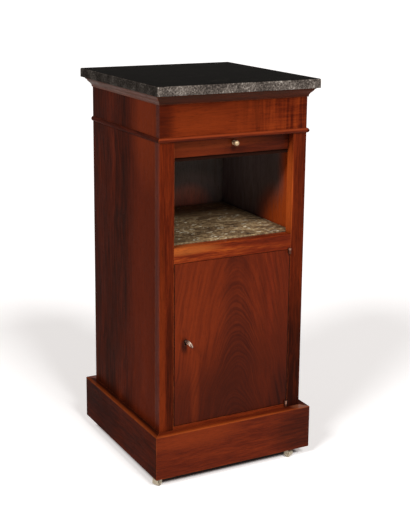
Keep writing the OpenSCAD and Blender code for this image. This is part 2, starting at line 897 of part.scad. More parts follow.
// Turned knob: base, neck, round head, and the screw through the drawer front
module drawer_knob() {
    color(BRASS) translate([knob_x, drawer_y, knob_z]) rotate([90, 0, 0]) {
        cylinder(r = knob_base_r, h = knob_base_t);
        translate([0, 0, knob_base_t])
            cylinder(r1 = knob_base_r - knob_base_step, r2 = knob_neck_r, h = knob_cone_h);
        cylinder(r = knob_neck_r, h = knob_out);
        translate([0, 0, knob_out - knob_r - knob_collar_out])
            cylinder(r = knob_neck_r + knob_collar_rise, h = knob_collar_l);
        translate([0, 0, knob_out]) sphere(knob_r);
        translate([0, 0, -drawer_front_t - knob_tail])
            cylinder(r = knob_screw_r, h = drawer_front_t + knob_tail + over);
    }
}

module knob_nut() {
    color(BRASS) translate([knob_x, drawer_box_y, knob_z]) rotate([-90, 0, 0]) difference() {
        cylinder(r = nut_r, h = nut_t, $fn = 6);
        translate([0, 0, -over]) cylinder(r = knob_screw_r, h = nut_t + 2 * over);
    }
}

// ---------------------------------------------------------------- plinth and castors

// Glued blocks in the corners of the plinth: they carry the case and the castor sockets
module corner_blocks() {
    color(DARK_WOOD) for (i = [0 : 3]) difference() {
        c = CASTORS[i];
        sx = sign(c[0]);
        sy = sign(c[1]);
        translate([sx * (x_body - block_w / 2), sy * (y_back - block_d / 2), floor_gap])
            linear_extrude(z_case - floor_gap) square([block_w, block_d], center = true);
        translate([c[0], c[1], floor_gap - over])
            cylinder(r = stem_r + castor_fit + socket_wall, h = stem_l + stem_gap + socket_end + over);
    }
}

module castor_sockets() {
    color(BRASS) for (c = CASTORS) translate([c[0], c[1], 0]) difference() {
        union() {
            translate([0, 0, floor_gap - flange_t]) cylinder(r = flange_r, h = flange_t);
            translate([0, 0, floor_gap])
                cylinder(r = stem_r + castor_fit + socket_wall, h = stem_l + stem_gap + socket_end);
        }
        translate([0, 0, floor_gap - flange_t - over])
            cylinder(r = stem_r + castor_fit, h = flange_t + stem_l + stem_gap + over);
    }
}

module at_castor(i) {
    c = CASTORS[i];
    translate([c[0], c[1], 0]) rotate([0, 0, c[2]]) children();
}

// Swivel stem, plate over the roller, and two cheeks with round ends at the axle
module castor_fork(i) {
    half = roller_w / 2 + cheek_gap;
    cheek_r = axle_r + cheek_rim;
    color(BRASS) at_castor(i) {
        translate([0, 0, stem_z - over]) cylinder(r = stem_r, h = stem_l + flange_t + over);
        translate([0, 0, plate_z]) cylinder(r = stem_r + plate_rim, h = fork_t);
        translate([0, -half - cheek_t, plate_z]) cube([trail + cheek_r, 2 * (half + cheek_t), fork_t]);
        for (s = [0, 1]) mirror([0, s, 0]) difference() {
            union() {
                translate([trail, half, axle_z]) rotate([-90, 0, 0]) cylinder(r = cheek_r, h = cheek_t);
                translate([trail - cheek_r, half, axle_z])
                    cube([2 * cheek_r, cheek_t, plate_z - axle_z + over]);
            }
            translate([trail, half - over, axle_z]) rotate([-90, 0, 0])
                cylinder(r = axle_r, h = cheek_t + 2 * over);
        }
    }
}

// Riveted axle
module castor_axle(i) {
    half = roller_w / 2 + cheek_gap + cheek_t;
    color(BRASS) at_castor(i) translate([trail, 0, axle_z]) rotate([90, 0, 0]) {
        translate([0, 0, -half]) cylinder(r = axle_r, h = 2 * half);
        for (s = [0, 1]) mirror([0, 0, s])
            translate([0, 0, half]) cylinder(r = axle_r + rivet_rise, h = rivet_t);
    }
}

// Solid brass roller with softened edges
module castor_roller(i) {
    soft = roller_soft;
    r = roller_d / 2;
    color(BRASS) at_castor(i) translate([trail, 0, axle_z]) rotate([90, 0, 0]) difference() {
        rotate_extrude() {
            translate([0, -roller_w / 2]) square([r - soft, roller_w]);
            translate([0, -roller_w / 2 + soft]) square([r, roller_w - 2 * soft]);
            for (s = [-1, 1]) translate([r - soft, s * (roller_w / 2 - soft)]) circle(soft);
        }
        translate([0, 0, -roller_w]) cylinder(r = axle_r + castor_fit, h = 2 * roller_w);
    }
}

marble_top();
top_board();
cornice_run(0);  // cornice_front
cornice_run(1);  // cornice_right
cornice_run(2);  // cornice_back
cornice_run(3);  // cornice_left
frieze_rail();
astragal_run(0);  // astragal_front
astragal_run(1);  // astragal_right
astragal_run(3);  // astragal_left
side_panel_left();
side_panel_right();
stile_left();
stile_right();
back_panel();
dust_board();
drawer_guides();
stone_shelf();
shelf_board();
niche_rail();
bottom_board();
door_stop();
door_panel();
hinge_top_fixed();
hinge_top_leaf();
hinge_bottom_fixed();
hinge_bottom_leaf();
hinge_screws_case();
hinge_screws_door();
lock_case();
lock_bolt();
key_escutcheon();
key();
strike_plate();
drawer_front();
drawer_side_left();
drawer_side_right();
drawer_back();
drawer_bottom();
drawer_knob();
knob_nut();
plinth_run(0);  // plinth_front_board
plinth_run(1);  // plinth_right_board
plinth_run(2);  // plinth_back_board
plinth_run(3);  // plinth_left_board
corner_blocks();
castor_sockets();
castor_fork(0);  // castor_fork_front_left
castor_fork(1);  // castor_fork_front_right
castor_fork(2);  // castor_fork_back_left
castor_fork(3);  // castor_fork_back_right
castor_axle(0);  // castor_axle_front_left
castor_axle(1);  // castor_axle_front_right
castor_axle(2);  // castor_axle_back_left
castor_axle(3);  // castor_axle_back_right
castor_roller(0);  // castor_roller_front_left
castor_roller(1);  // castor_roller_front_right
castor_roller(2);  // castor_roller_back_left
castor_roller(3);  // castor_roller_back_right
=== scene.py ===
"""Bedside pot cupboard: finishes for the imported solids, a plain studio, and the camera.

Lengths are in metres and places are in the solids' frame, whose front looks along -Y."""

import math

import bpy
from mathutils import Matrix, Vector

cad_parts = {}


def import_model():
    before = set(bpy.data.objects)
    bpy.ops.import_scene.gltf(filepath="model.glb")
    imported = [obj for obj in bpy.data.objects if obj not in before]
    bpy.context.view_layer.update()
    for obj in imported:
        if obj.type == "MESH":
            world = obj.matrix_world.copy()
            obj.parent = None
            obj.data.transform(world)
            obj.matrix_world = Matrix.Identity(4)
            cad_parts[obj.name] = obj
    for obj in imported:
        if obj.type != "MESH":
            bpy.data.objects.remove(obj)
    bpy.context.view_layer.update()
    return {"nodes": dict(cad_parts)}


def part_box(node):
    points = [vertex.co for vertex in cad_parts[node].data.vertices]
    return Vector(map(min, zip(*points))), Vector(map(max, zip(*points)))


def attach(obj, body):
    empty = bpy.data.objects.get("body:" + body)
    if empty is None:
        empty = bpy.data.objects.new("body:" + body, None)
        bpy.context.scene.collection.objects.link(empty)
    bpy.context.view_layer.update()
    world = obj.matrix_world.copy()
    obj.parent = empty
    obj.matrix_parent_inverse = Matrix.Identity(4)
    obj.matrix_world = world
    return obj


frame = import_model()

MM = 0.001

# ---------------------------------------------------------------- helpers


def new_object(name, data):
    thing = bpy.data.objects.new(name, data)
    bpy.context.scene.collection.objects.link(thing)
    return thing


def linear(code):
    """A colour written as rrggbb, as the scene-linear values that shaders take."""
    values = [int(code[i:i + 2], 16) / 255 for i in (0, 2, 4)]
    return tuple(v / 12.92 if v <= 0.04045 else ((v + 0.055) / 1.055) ** 2.4 for v in values)


class Tree:
    """A material's node tree, built with short calls, most of which return an output socket."""

    # Rays per shading point of the occlusion and bevel nodes
    SAMPLES = 6

    def __init__(self, name):
        self.material = bpy.data.materials.new(name)
        self.material.use_nodes = True
        self.nodes = self.material.node_tree.nodes
        self.links = self.material.node_tree.links
        self.nodes.clear()
        self.output = self.nodes.new("ShaderNodeOutputMaterial")
        self.place = self.nodes.new("ShaderNodeTexCoord").outputs["Object"]
        split = self.nodes.new("ShaderNodeSeparateXYZ")
        self.links.new(self.place, split.inputs[0])
        self.x, self.y, self.z = split.outputs
        self.axes = {"x": self.x, "y": self.y, "z": self.z}

    def put(self, socket, value):
        if isinstance(value, bpy.types.NodeSocket):
            self.links.new(value, socket)
        else:
            socket.default_value = value

    def fill(self, node, values):
        """values gives inputs of the node, by name or number, what they take."""
        for key, value in dict(values).items():
            self.put(node.inputs[key], value)

    def math(self, kind, a, b=0.0):
        node = self.nodes.new("ShaderNodeMath")
        node.operation = kind
        self.fill(node, {0: a, 1: b})
        return node.outputs[0]

    def add(self, *values):
        total = values[0]
        for value in values[1:]:
            total = self.math("ADD", total, value)
        return total

    def mul(self, a, b):
        return self.math("MULTIPLY", a, b)

    def swing(self, value, amount):
        """How far a value is from a half, times amount."""
        return self.mul(self.math("SUBTRACT", value, 0.5), amount)

    def vector(self, x, y, z):
        node = self.nodes.new("ShaderNodeCombineXYZ")
        self.fill(node, enumerate((x, y, z)))
        return node.outputs[0]

    def stretched(self, sx, sy, sz, shift=0.0):
        """The place with each axis scaled by itself."""
        node = self.nodes.new("ShaderNodeMapping")
        self.fill(node, {"Vector": self.place, "Scale": (sx, sy, sz), "Location": (shift, shift * 1.7, shift * 0.6)})
        return node.outputs[0]

    def noise(self, vector, scale=1.0, detail=3.0, rough=0.5, bend=0.0):
        node = self.nodes.new("ShaderNodeTexNoise")
        self.fill(node, {"Vector": vector, "Scale": scale, "Detail": detail, "Roughness": rough, "Distortion": bend})
        return node.outputs["Fac"]

    def noise_line(self, value, scale, detail, rough=0.55):
        """Noise along one number, as the spacing of growth rings."""
        node = self.nodes.new("ShaderNodeTexNoise")
        node.noise_dimensions = "1D"
        self.fill(node, {"W": value, "Scale": scale, "Detail": detail, "Roughness": rough})
        return node.outputs["Fac"]

    def cells(self, vector, scale):
        """Distance to the nearest of points strewn at random."""
        node = self.nodes.new("ShaderNodeTexVoronoi")
        self.fill(node, {"Vector": vector, "Scale": scale})
        return node.outputs["Distance"]

    def span(self, value, low, high, to_low=0.0, to_high=1.0, smooth=True):
        """value from low to high becomes to_low to to_high, and stops there."""
        node = self.nodes.new("ShaderNodeMapRange")
        node.interpolation_type = "SMOOTHSTEP" if smooth else "LINEAR"
        self.fill(node, enumerate((value, low, high, to_low, to_high)))
        return node.outputs[0]

    def ramp(self, value, places, codes):
        """The colours, written as rrggbb, that a value takes at these places between 0 and 1."""
        node = self.nodes.new("ShaderNodeValToRGB")
        self.put(node.inputs[0], value)
        points = node.color_ramp.elements
        while len(points) < len(places):
            points.new(0.5)
        for point, place, code in zip(points, places, codes):
            point.position = place
            point.color = (*linear(code), 1.0)
        return node.outputs["Color"]

    def blend(self, amount, a, b, kind="MIX"):
        """a and b are sockets, or colours as three values."""
        node = self.nodes.new("ShaderNodeMix")
        node.data_type = "RGBA"
        node.blend_type = kind
        node.clamp_factor = True
        colours = [(*value, 1.0) if isinstance(value, tuple) else value for value in (a, b)]
        self.fill(node, zip((0, 6, 7), (amount, *colours)))
        return node.outputs[2]

    def blob(self, centre, radii):
        """1 at a centre, falling to 0 at an ellipsoid round it."""
        parts = []
        for axis, middle, radius in zip((self.x, self.y, self.z), centre, radii):
            away = self.math("DIVIDE", self.math("SUBTRACT", axis, middle), radius)
            parts.append(self.mul(away, away))
        return self.span(self.add(*parts), 0.0, 1.0, 1.0, 0.0)

    def bump(self, height, strength, depth):
        node = self.nodes.new("ShaderNodeBump")
        self.fill(node, {"Strength": strength, "Distance": depth, "Height": height})
        return node.outputs["Normal"]

    def occlusion(self, distance):
        """1 in the open, lower in corners and recesses."""
        node = self.nodes.new("ShaderNodeAmbientOcclusion")
        node.inputs["Distance"].default_value = distance
        node.samples = self.SAMPLES
        return node.outputs["AO"]

    def edges(self, radius):
        """0 on flats, towards 1 on sharp outer and inner edges, where the rounded normal leaves the true one."""
        bevel = self.nodes.new("ShaderNodeBevel")
        bevel.samples = self.SAMPLES
        bevel.inputs["Radius"].default_value = radius
        geometry = self.nodes.new("ShaderNodeNewGeometry")
        dot = self.nodes.new("ShaderNodeVectorMath")
        dot.operation = "DOT_PRODUCT"
        self.fill(dot, {0: bevel.outputs[0], 1: geometry.outputs["Normal"]})
        return self.span(dot.outputs["Value"], 0.98, 0.85)

    def surface(self, colour, roughness, normal, metallic=0.0, ior=1.5, specular=0.5):
        shader = self.nodes.new("ShaderNodeBsdfPrincipled")
        self.fill(shader, {"Base Color": colour, "Roughness": roughness, "Normal": normal, "Metallic": metallic,
                           "IOR": ior, "Specular IOR Level": specular})
        self.links.new(shader.outputs[0], self.output.inputs["Surface"])
        return self.material


# ---------------------------------------------------------------- wood

# Tones of a wood, from its darkest streak to its lightest, and where they stand between 0 and 1
TONE_PLACES = (0.3, 0.44, 0.56, 0.72)
MAHOGANY_TONES = ("36120c", "561e10", "722c15", "8f3d1c")
DARK_TONES = ("26100b", "3c1710", "552114", "702f19")
RAIL_TONES = ("3a1108", "6c2611", "8c3a19", "b05824")
SILL_TONES = ("48170c", "6c2813", "86381a", "a04a22")
# The drawer front's tones are kept dark as painted shade from the frieze and bead that overhang it
SHADED_TONES = ("200c09", "38150c", "501e11", "6a2b18")
SIDE_TONES = ("1e0d0a", "34140c", "4c1c10", "6a2a16")
PLAIN_TONES = ("33231a", "4c3524", "64482f", "7d5e40")
# The niche ceiling's tones are kept dark as painted shade
CEILING_SHADE_TONES = ("1e1310", "2c1a14", "3c2118", "4e2a1c")
FLAME_PLACES = (0.3, 0.45, 0.57, 0.72)
FLAME_TONES = ("3a130b", "592010", "6b2813", "823518")

PORE_DIRT = "1c0a07"
# Dirt and painted shade in corners and recesses, and how far the occlusion that finds them reaches
GRIME_AND_SHADE = "140807"
GRIME_AND_SHADE_REACH = 12 * MM
# Edges lightened partly by wear and partly as painted highlights along the arrises, and how wide
RUBBED_AND_HIGHLIGHT = "a8542a"
RUBBED_AND_HIGHLIGHT_WIDTH = 1.4 * MM
PORE_DEPTH = 0.15 * MM

# What the old red polish lets through of the wood's own colour, how much it mirrors at all, and its index
# of refraction: fresh, worn, and almost gone
POLISH = (0.91, 0.79, 0.6)
POLISH_SPECULAR = 0.05
FRESH, WORN, GONE = 1.46, 1.22, 1.1

# Scales of the noises, as (along the grain, across it)
FLOW = (1.3, 22.0)
FIBRES = (25.0, 620.0)
RIPPLE = (110.0, 9.0)
DASHES = (42.0, 330.0)
PORES = (70.0, 1500.0)
FLAME_PORES = (60.0, 1400.0)


def along(grain, scales):
    """Scales for the three axes, from the one along the grain and the one across it."""
    with_grain, across = scales
    return [with_grain if axis == grain else across for axis in "xyz"]


def pits(t, grain, shift, pore_scales):
    """1 in the short dark dashes and the fine pores of the grain."""
    dashes = t.noise(t.stretched(*along(grain, DASHES), shift=shift), rough=0.6)
    pores = t.noise(t.stretched(*along(grain, pore_scales)), detail=2.0)
    return t.math("MAXIMUM", t.mul(t.span(dashes, 0.56, 0.7), 0.6), t.span(pores, 0.62, 0.7))


def apply_stains_and_light(t, colour, stains_and_light, streaks, low, high, at_low, at_high):
    """A colour marked with blobs of stain, painted light and painted shade. Each is (centre, radii, colour, amount),
    and follows the streaks: its amount is taken at_low times where they are at low, and at_high times where they are
    at high."""
    for centre, radii, code, amount in stains_and_light:
        veil = t.mul(t.blob(centre, radii), t.span(streaks, low, high, amount * at_low, amount * at_high))
        colour = t.blend(veil, colour, linear(code))
    return colour


def finish(t, colour, flecks, fibres, gloss, worn, polished=True, ior=FRESH):
    """Pores, soiling and painted shade in the corners, edges lightened by wear and by painted highlights, and an
    uneven polish over a wood's own colour.
    """
    if polished:
        colour = t.blend(1.0, colour, POLISH, "MULTIPLY")
    colour = t.blend(t.mul(flecks, 0.5), colour, linear(PORE_DIRT))
    # Dirt and painted shade where the occlusion finds corners
    grime_and_shade = t.span(t.occlusion(GRIME_AND_SHADE_REACH), 0.75, 0.3)
    colour = t.blend(t.mul(grime_and_shade, 0.55), colour, linear(GRIME_AND_SHADE))
    # Edges lightened by wear and by painted highlight
    rubbed_and_highlit = t.mul(t.edges(RUBBED_AND_HIGHLIGHT_WIDTH), t.span(t.noise(t.place, scale=70.0), 0.3, 0.6))
    colour = t.blend(t.mul(rubbed_and_highlit, worn), colour, linear(RUBBED_AND_HIGHLIGHT))
    smear = t.noise(t.place, scale=14.0, detail=4.0, rough=0.6)
    rough = t.add(t.span(smear, 0.3, 0.7, gloss - 0.05, gloss + 0.1), t.mul(flecks, 0.15), t.mul(grime_and_shade, 0.2))
    height = t.add(t.mul(flecks, -1.0), t.mul(fibres, 0.35))
    return t.surface(colour, rough, t.bump(height, 0.25, PORE_DEPTH), ior=ior, specular=POLISH_SPECULAR)


def wood(name, grain, tones, scale=1.0, ripple=None, shift=0.0, stains_and_light=(), gloss=0.3, contrast=1.0, worn=0.5,
         polished=True, ior=FRESH):
    """Veneer with its grain along one axis: soft bands, streaks, fine fibres and short pores.
    scale is the size of its figure, shift takes another piece of it, and gloss is its mean roughness.
    ripple is (amount, place along the grain where the cross ripple starts, place where it is full)."""
    t = Tree(name)
    sway = t.swing(t.noise(t.place, scale=5.0, detail=2.0), 0.9)
    lanes = []
    for axis, lane_scale in zip("xyz", along(grain, FLOW)):
        lane = t.mul(t.axes[axis], lane_scale / scale)
        lanes.append(lane if axis == grain else t.add(lane, sway, shift))
    flow = t.vector(*lanes)
    bands = t.noise(flow, detail=2.0, rough=0.45)
    streaks = t.noise(flow, scale=7.0, detail=5.0, rough=0.65)
    fibres = t.noise(t.stretched(*along(grain, FIBRES)))
    tone = t.add(t.swing(bands, 0.42 * contrast), t.swing(streaks, 0.42 * contrast), t.swing(fibres, 0.26), 0.5)
    if ripple:
        amount, start, full = ripple
        cross = t.noise(t.stretched(*along(grain, RIPPLE), shift=3.1), detail=2.0, rough=0.4, bend=0.5)
        tone = t.add(tone, t.mul(t.swing(cross, t.span(t.axes[grain], start, full)), amount))
    colour = t.ramp(tone, TONE_PLACES, tones)
    colour = apply_stains_and_light(t, colour, stains_and_light, streaks, 0.3, 0.7, 1.15, 0.75)
    flecks = pits(t, grain, shift, PORES)
    return finish(t, colour, flecks, fibres, gloss, worn, polished, ior)


# Where surfaces marked with stain, painted light and painted shade stand: the front of the body, its left side, and
# the niche's right wall and back
FACE = -0.175
SIDE = -0.175
WALL = 0.157
BACK = 0.163
# Radius of a mark (stain, painted light, painted shade) that goes right through a board
THROUGH = 0.1

DOOR_STAINS_AND_SHADE = (
    # Painted shade: the door darker towards the bottom, most at the lower right
    ((0.16, FACE, 0.105), (0.34, THROUGH, 0.3), "3c150c", 0.65),
    ((-0.075, FACE, 0.1), (0.15, THROUGH, 0.22), "3c160d", 0.65),
    ((0.14, FACE, 0.13), (0.06, THROUGH, 0.12), "260e0a", 0.7),
    ((-0.11, FACE, 0.39), (0.12, THROUGH, 0.2), "7e3217", 0.5),
    # Dark lines along the door's upright edges: dirt and painted shade of the gaps at the stiles
    ((-0.1413, FACE, 0.3), (0.0028, THROUGH, 1.0), "180806", 0.9),
    ((0.1413, FACE, 0.3), (0.0028, THROUGH, 1.0), "180806", 0.9),
    ((-0.091, FACE, 0.2), (0.014, THROUGH, 0.13), "8a3818", 0.3),
    ((0.093, FACE, 0.4), (0.012, THROUGH, 0.16), "7e2c18", 0.2),
    # Painted shadow of the key round the keyhole, reaching further to its left and below
    ((-0.117, FACE, 0.305), (0.01, THROUGH, 0.022), "1a0a08", 0.85),
)


def flame_door():
    """Crown-cut figure: round arches stacked up a dark heart, and fine streaks that lean in along its sides."""
    t = Tree("flame_mahogany")
    # The arches: where their middle stands, how wide their round tops are, and how steep their legs
    crown_x, crown_width, legs = 0.008, 0.1, 6.6
    bend = t.swing(t.noise(t.place, scale=9.0, detail=2.0), 0.03)
    middle = t.add(t.swing(t.noise_line(t.z, 6.0, 1.0), 0.03), crown_x)
    off = t.add(t.math("SUBTRACT", t.x, middle), t.mul(bend, 0.35))
    reach = t.math("SQRT", t.add(t.mul(off, off), crown_width ** 2))
    rings = t.add(t.z, t.mul(t.math("SUBTRACT", reach, crown_width), legs), t.mul(bend, 0.6))

    half_width = t.span(t.z, 0.13, 0.42, 0.058, 0.034, smooth=False)
    heart = t.add(t.math("DIVIDE", t.math("ABSOLUTE", off), half_width), t.mul(bend, 12.0))
    heart = t.mul(t.span(heart, 0.45, 1.35, 1.0, 0.0), t.span(t.z, 0.28, 0.48, 1.0, 0.45))

    wobble = t.mul(t.noise(t.place, scale=40.0, detail=1.0), 0.012)
    lines = t.span(t.noise_line(t.add(rings, wobble, 3.7), 125.0, 3.0, 0.6), 0.4, 0.6)
    patchy = t.span(t.noise(t.place, scale=18.0, detail=2.0), 0.35, 0.65, 0.45, 1.0)
    shown = t.mul(t.span(heart, 0.0, 0.6, 0.3, 1.0), t.span(t.z, 0.34, 0.47, 1.0, 0.4))
    ringed = t.mul(t.swing(lines, patchy), shown)

    across = t.math("DIVIDE", rings, legs)
    straight = t.noise(t.vector(t.mul(across, 210.0), t.mul(off, 22.0), t.mul(t.z, 5.0)), detail=4.0, rough=0.6)
    broad = t.noise(t.stretched(30.0, 30.0, 4.0, shift=1.9), detail=2.0)
    fibres = t.noise(t.vector(t.mul(across, 520.0), t.mul(off, 60.0), t.mul(t.z, 22.0)))
    tone = t.add(t.mul(ringed, -0.2), t.mul(straight, 0.44), t.mul(broad, 0.12), t.mul(fibres, 0.22), 0.12)

    colour = t.ramp(tone, FLAME_PLACES, FLAME_TONES)
    dark = t.blend(t.mul(lines, patchy), linear("4a1d13"), linear("32130f"))
    colour = t.blend(t.mul(heart, 0.68), colour, dark)
    colour = apply_stains_and_light(t, colour, DOOR_STAINS_AND_SHADE, straight, 0.35, 0.65, 0.6, 1.3)
    flecks = pits(t, "z", 2.2, FLAME_PORES)
    return finish(t, colour, flecks, fibres, gloss=0.28, worn=0.4)


# ---------------------------------------------------------------- stone and metal


def dark_stone():
    """Near-black fossil stone: honed above, with its grey grain open on the dressed edges, and painted shade
    darkening its left edge.
    """
    t = Tree("dark_stone")
    low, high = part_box("marble_top")
    grain = t.noise(t.place, scale=430.0, rough=0.7)
    clouds = t.noise(t.place, scale=26.0, detail=4.0, rough=0.6)
    specks = t.noise(t.place, scale=260.0, detail=2.0, rough=0.6)
    flecks = t.span(t.add(t.mul(grain, 0.7), t.mul(clouds, 0.4)), 0.56, 0.74)
    honed = t.ramp(flecks, (0.0, 0.6, 1.0), ("110f0d", "171512", "302c26"))
    dressed = t.ramp(t.add(t.mul(grain, 0.45), t.mul(specks, 0.33), t.mul(clouds, 0.35), -0.01),
                     (0.38, 0.5, 0.6, 0.72), ("1e1a18", "423b36", "71675f", "bab0a6"))
    top = t.span(t.z, high.z - 1.6 * MM, high.z - 0.2 * MM)
    colour = t.blend(top, dressed, honed)
    # Painted shade on the left edge
    shaded_left_edge = t.span(t.x, low.x + 0.3 * MM, low.x + 1.6 * MM, 0.75, 0.0)
    colour = t.blend(t.mul(shaded_left_edge, t.span(top, 0.0, 1.0, 1.0, 0.0)), colour, linear("100e0c"))
    rough = t.span(top, 0.0, 1.0, 0.7, 0.42)
    height = t.add(t.mul(t.cells(t.place, 420.0), 0.6), grain)
    height = t.blend(top, t.vector(height, height, height), (0.5, 0.5, 0.5))
    return t.surface(colour, rough, t.bump(height, 0.6, 0.5 * MM), ior=1.2, specular=0.0008)


def niche_stone():
    """Worn mottled limestone, with painted shade that makes it browner on the left and in the middle, painted light
    that makes it warmer at the back, and soiling and painted shade in its corners.
    """
    t = Tree("niche_stone")
    mottle = t.noise(t.stretched(17.0, 36.0, 36.0), detail=6.0, rough=0.68, bend=1.1)
    spots = t.noise(t.place, scale=150.0, detail=5.0, rough=0.7)
    tone = t.add(t.mul(mottle, 0.55), t.mul(spots, 0.45), -0.022)
    colour = t.ramp(tone, (0.36, 0.46, 0.54, 0.66), ("3a2c1e", "6e563c", "a68b64", "ecdcb4"))
    # Painted shade: browner on the left and towards the back
    left = t.span(t.add(t.x, t.swing(mottle, 0.2)), -0.14, 0.03, 0.55, 0.0)
    back = t.span(t.y, -0.13, 0.02, 0.0, 0.3)
    colour = t.blend(t.math("MAXIMUM", left, back), colour, linear("44331f"))
    # Painted light: warmer and lighter at the far back
    colour = t.blend(t.span(t.y, 0.0, 0.14, 0.0, 0.45), colour, linear("d4a878"))
    flecks = t.noise(t.stretched(70.0, 170.0, 170.0, shift=4.0), detail=1.0)
    colour = t.blend(t.span(flecks, 0.64, 0.72, 0.0, 0.7), colour, linear("f2e8cc"))
    # Dirt and painted shade in the corners
    dirt_and_shade = t.span(t.occlusion(30 * MM), 0.85, 0.35)
    colour = t.blend(t.mul(dirt_and_shade, 0.4), colour, linear("221a14"))
    rough = t.span(spots, 0.3, 0.7, 0.5, 0.75)
    return t.surface(colour, rough, t.bump(tone, 0.35, 0.6 * MM), specular=0.3)


def metal(name, bright, dull, rough_low, rough_high, tarnish, metallic=1.0):
    """Metal whose bright colour goes dull in patches and in corners. Dusty metal is less than wholly metallic."""
    t = Tree(name)
    patches = t.noise(t.place, scale=110.0, detail=4.0, rough=0.65)
    scratches = t.noise(t.stretched(300.0, 1400.0, 1400.0), detail=2.0)
    corners = t.span(t.occlusion(4 * MM), 0.9, 0.3)
    dirty = t.span(t.add(patches, t.mul(corners, 0.5)), 0.72 - tarnish, 0.92 - tarnish * 0.6)
    colour = t.blend(dirty, linear(bright), linear(dull))
    rough = t.add(t.span(dirty, 0.0, 1.0, rough_low, rough_high), t.mul(scratches, 0.08))
    return t.surface(colour, rough, t.bump(t.add(patches, scratches), 0.15, 0.1 * MM), metallic=metallic)


# ---------------------------------------------------------------- finish of each node


def dress(nodes, material):
    for name in nodes:
        mesh = frame["nodes"][name].data
        mesh.materials.clear()
        mesh.materials.append(material)


dress(["frieze_rail"], wood(
    "mahogany_frieze", "x", MAHOGANY_TONES, scale=1.1, ripple=(0.7, -0.03, 0.08), shift=0.4, contrast=0.9, ior=WORN,
    stains_and_light=[((-0.09, FACE, 0.783), (0.09, THROUGH, 0.045), "93401c", 0.4),
            ((0.02, FACE, 0.79), (0.09, THROUGH, 0.08), "8a3a1a", 0.4),
            ((-0.175, FACE, 0.775), (0.04, THROUGH, 0.1), "3c150d", 0.7)]))
dress(["cornice_front", "cornice_back"], wood(
    "mahogany_cornice_x", "x", DARK_TONES, shift=2.0, gloss=0.36,
    # Painted sheen: a grey-brown cast along the cornice
    stains_and_light=[((0.0, -0.19, 0.83), (0.5, 0.03, 0.02), "6a5348", 0.25)]))
dress(["cornice_left", "cornice_right"], wood(
    "mahogany_cornice_y", "y", DARK_TONES, shift=2.6, gloss=0.36,
    # Painted sheen: a grey-brown cast along the cornice
    stains_and_light=[((-0.19, 0.0, 0.83), (0.03, 0.5, 0.02), "6a5348", 0.4)]))
dress(["astragal_front"], wood(
    "mahogany_bead_x", "x", MAHOGANY_TONES, shift=5.0,
    # Painted highlight along the bead's front, painted shade on its right end and along its underside
    stains_and_light=[((0.0, -0.1785, 0.7495), (0.5, 0.003, 0.003), "984526", 0.6),
            ((0.184, -0.178, 0.745), (0.012, 0.02, 0.012), "1e0d0a", 1.2),
            ((0.0, -0.178, 0.7405), (0.5, 0.02, 0.003), "2a0f0a", 0.8)]))
dress(["astragal_left", "astragal_right"], wood("mahogany_bead_y", "y", DARK_TONES, shift=5.6, ior=GONE))
dress(["side_panel_left"], wood(
    "mahogany_side_left", "z", SIDE_TONES, scale=1.1, shift=1.3, contrast=1.05, ior=GONE,
    # Painted light: the side lighter towards the front
    stains_and_light=[((SIDE, -0.13, 0.455), (0.05, 0.13, 0.8), "6c2813", 0.5),
            ((SIDE, -0.12, 0.77), (0.05, 0.1, 0.16), "8a3a1c", 0.4),
            ((SIDE, -0.17, 0.455), (0.05, 0.03, 0.8), "42180e", 0.5),
            # Painted shade: the side darker low at the back
            ((SIDE, 0.12, 0.305), (0.05, 0.14, 0.4), "26110c", 0.35)]))
dress(["side_panel_right"], wood(
    "mahogany_side_right", "z", SIDE_TONES, scale=1.3, shift=1.9, ior=1.12,
    # All painted light on the niche's right wall: greys lift its shaded back, and orange pools stand where the lamp
    # reaches its front and lower part
    stains_and_light=[((WALL, -0.08, 0.66), (0.003, 0.22, 0.18), "6c6066", 1.1),
            ((WALL, 0.15, 0.62), (0.003, 0.22, 0.26), "948a98", 0.9),
            ((WALL, -0.168, 0.65), (0.003, 0.085, 0.22), "b04a1e", 1.3),
            ((WALL, -0.13, 0.525), (0.003, 0.15, 0.11), "a84a20", 1.1)]))
dress(["stile_left"], wood(
    "mahogany_stile_left", "z", MAHOGANY_TONES, scale=0.5, shift=7.2, contrast=0.8, worn=0.85, ior=WORN,
    stains_and_light=[((SIDE, -0.158, 0.425), (0.004, 0.015, 0.8), "42180f", 0.7),
            # Painted highlight along the outer arris's lower half
            ((-0.169, FACE, 0.3), (0.01, 0.004, 0.35), "93401c", 0.3),
            ((-0.151, FACE, 0.2), (0.013, 0.004, 0.3), "34130c", 0.85)]))
dress(["stile_right"], wood(
    "mahogany_stile_right", "z", MAHOGANY_TONES, scale=0.5, shift=8.1, contrast=0.7, ior=WORN,
    # Painted shade: the stile darker towards the bottom
    stains_and_light=[((0.16, FACE, 0.14), (0.12, THROUGH, 0.31), "260f0c", 0.95),
            ((0.165, FACE, 0.5), (0.02, 0.004, 0.4), "3c1a10", 0.2),
            # Painted light on the stile's inner face in the niche
            ((0.142, -0.16, 0.605), (0.004, 0.03, 0.14), "c05c2a", 1.0)]))
dress(["niche_rail"], wood(
    "mahogany_rail", "x", RAIL_TONES, scale=0.24, shift=3.3, contrast=1.6,
    stains_and_light=[((-0.12, FACE, 0.512), (0.11, THROUGH, 0.012), "c8743a", 0.5),
            ((0.08, FACE, 0.5), (0.12, THROUGH, 0.04), "6a240f", 0.6)]))
dress(["bottom_board"], wood("mahogany_sill", "x", SILL_TONES, scale=0.8, shift=3.9))
dress(["drawer_front"], wood(
    "mahogany_drawer", "x", SHADED_TONES, scale=1.2, shift=6.6,
    # Painted light: lighter at the lower left, and along the top edge where the bead's shade falls
    stains_and_light=[((-0.1, -0.157, 0.712), (0.12, THROUGH, 0.02), "86381a", 0.5),
            ((-0.06, -0.157, 0.73), (0.2, THROUGH, 0.013), "a44c28", 0.55)]))
